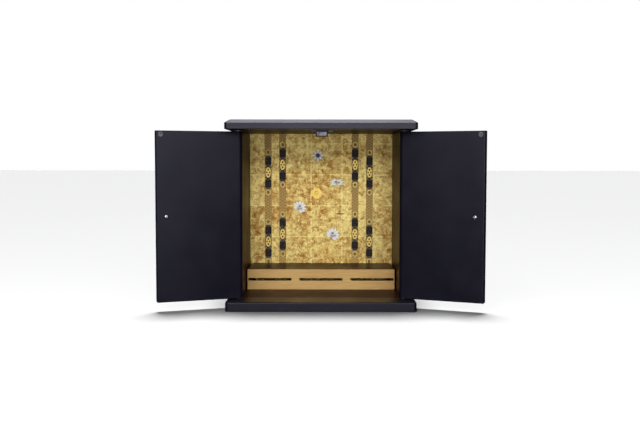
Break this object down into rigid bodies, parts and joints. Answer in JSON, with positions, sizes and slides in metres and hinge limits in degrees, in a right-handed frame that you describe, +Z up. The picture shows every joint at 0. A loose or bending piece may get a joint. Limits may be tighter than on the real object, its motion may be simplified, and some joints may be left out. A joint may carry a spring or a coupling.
{
  "type": "household altar cabinet",
  "caption": "Flat-topped tabletop altar cabinet of dark lacquer, open on two wide pin-hung doors to a gold-leafed back panel and a low slotted wooden stand, with a magnetic catch at the top.",
  "frame": {"origin": "centre of the underside of the base board", "axes": "+Z up, the doors' side faces -Y, +X to the right of a viewer at the front"},
  "size_m": [0.6832, 0.3298, 0.4],
  "materials": {
    "lacquer": "satin near-black lacquer over board",
    "dark_backing": "plain dark stained board",
    "gold_leaf": "gold leaf squares over board, with painted bands and lotus flowers",
    "pale_wood": "pale straight-grained wood, clear satin finish",
    "nickel": "nickel plated, satin",
    "brass": "plain turned",
    "dark_plastic": "moulded, matt",
    "pole_steel": "dull grey pole face"
  },
  "bodies": {
    "cabinet": {"base_board": "lacquer", "top_board": "lacquer", "side_panel_left": "lacquer", "side_panel_right": "lacquer", "back_board": "dark_backing", "gold_panel": "gold_leaf", "stand_front": "pale_wood", "stand_top": "lacquer", "stand_end_left": "lacquer", "stand_end_right": "lacquer", "catch_housing": "dark_plastic", "catch_strap": "nickel", "catch_magnet": "pole_steel", "catch_screw_left": "nickel", "catch_screw_right": "nickel"},
    "door_left": {"door_left": "lacquer", "pin_lower_left": "brass", "pin_upper_left": "brass", "knob_left": "nickel", "knob_screw_left": "nickel", "strike_disc_left": "nickel", "strike_screw_left": "nickel"},
    "door_right": {"door_right": "lacquer", "pin_lower_right": "brass", "pin_upper_right": "brass", "knob_right": "nickel", "knob_screw_right": "nickel", "strike_disc_right": "nickel", "strike_screw_right": "nickel"}
  },
  "joints": [
    {"name": "door_left_hinge", "type": "hinge", "parent": "cabinet", "child": "door_left", "pos_m": [-0.176, -0.1, 0.1988], "axis": [0, 0, -1], "range_deg": [-159.7, 20.3]},
    {"name": "door_right_hinge", "type": "hinge", "parent": "cabinet", "child": "door_right", "pos_m": [0.176, -0.1, 0.1988], "axis": [0, 0, 1], "range_deg": [-157.5, 22.5]}
  ]
}
